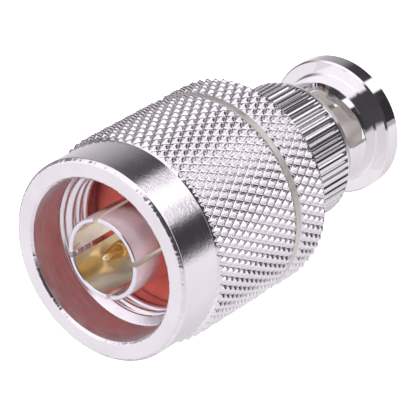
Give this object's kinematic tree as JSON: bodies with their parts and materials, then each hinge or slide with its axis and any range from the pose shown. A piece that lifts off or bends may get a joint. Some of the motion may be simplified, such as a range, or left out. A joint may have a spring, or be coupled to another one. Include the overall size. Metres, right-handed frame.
{
  "type": "coaxial adapter",
  "caption": "Coaxial adapter with a knurled N coupling nut round its contacts at one end and a spring-loaded BNC bayonet sleeve at the other.",
  "frame": {"origin": "centre of the bayonet rim's end face, on the connector axis", "axes": "+Z along the connector axis from the BNC end to the N mouth, +X through one of the bayonet's entry grooves"},
  "size_m": [0.0216, 0.0216, 0.0388],
  "materials": {
    "plated_nut": "satin nickel plate",
    "plated_sleeve": "polished nickel plate",
    "plated_body": "nickel plate",
    "plated_contact": "satin nickel plate",
    "gold_contact": "gold plate",
    "spring_metal": "spring steel",
    "red_silicone": "matte silicone rubber",
    "white_insulator": "matte fluoropolymer"
  },
  "bodies": {
    "core": {"n_body": "plated_body", "n_retaining_ring": "spring_metal", "n_gasket": "red_silicone", "n_outer_contact": "plated_contact", "n_insulator": "white_insulator", "n_centre_pin": "gold_contact", "bnc_centre_pin": "gold_contact", "bnc_insulator": "white_insulator", "bnc_body": "plated_body", "bnc_outer_contact": "plated_contact", "bnc_gasket": "red_silicone", "wave_washer": "spring_metal"},
    "nut": {"n_coupling_nut": "plated_nut"},
    "thrust": {"thrust_washer": "spring_metal"},
    "sleeve": {"bayonet_sleeve": "plated_sleeve", "bnc_retaining_ring": "spring_metal"}
  },
  "joints": [
    {"name": "nut_turn", "type": "hinge", "parent": "core", "child": "nut", "pos_m": [0, 0, 0.028], "axis": [0, 0, 1], "continuous": true},
    {"name": "sleeve_pull", "type": "slide", "parent": "core", "child": "thrust", "axis": [0, 0, -1], "range_m": [0, 0.0006], "stiffness_N_per_m": 6000, "springref_m": -0.0004, "deforming": ["wave_washer"]},
    {"name": "sleeve_turn", "type": "hinge", "parent": "thrust", "child": "sleeve", "pos_m": [0, 0, 0.008], "axis": [0, 0, 1], "continuous": true}
  ]
}
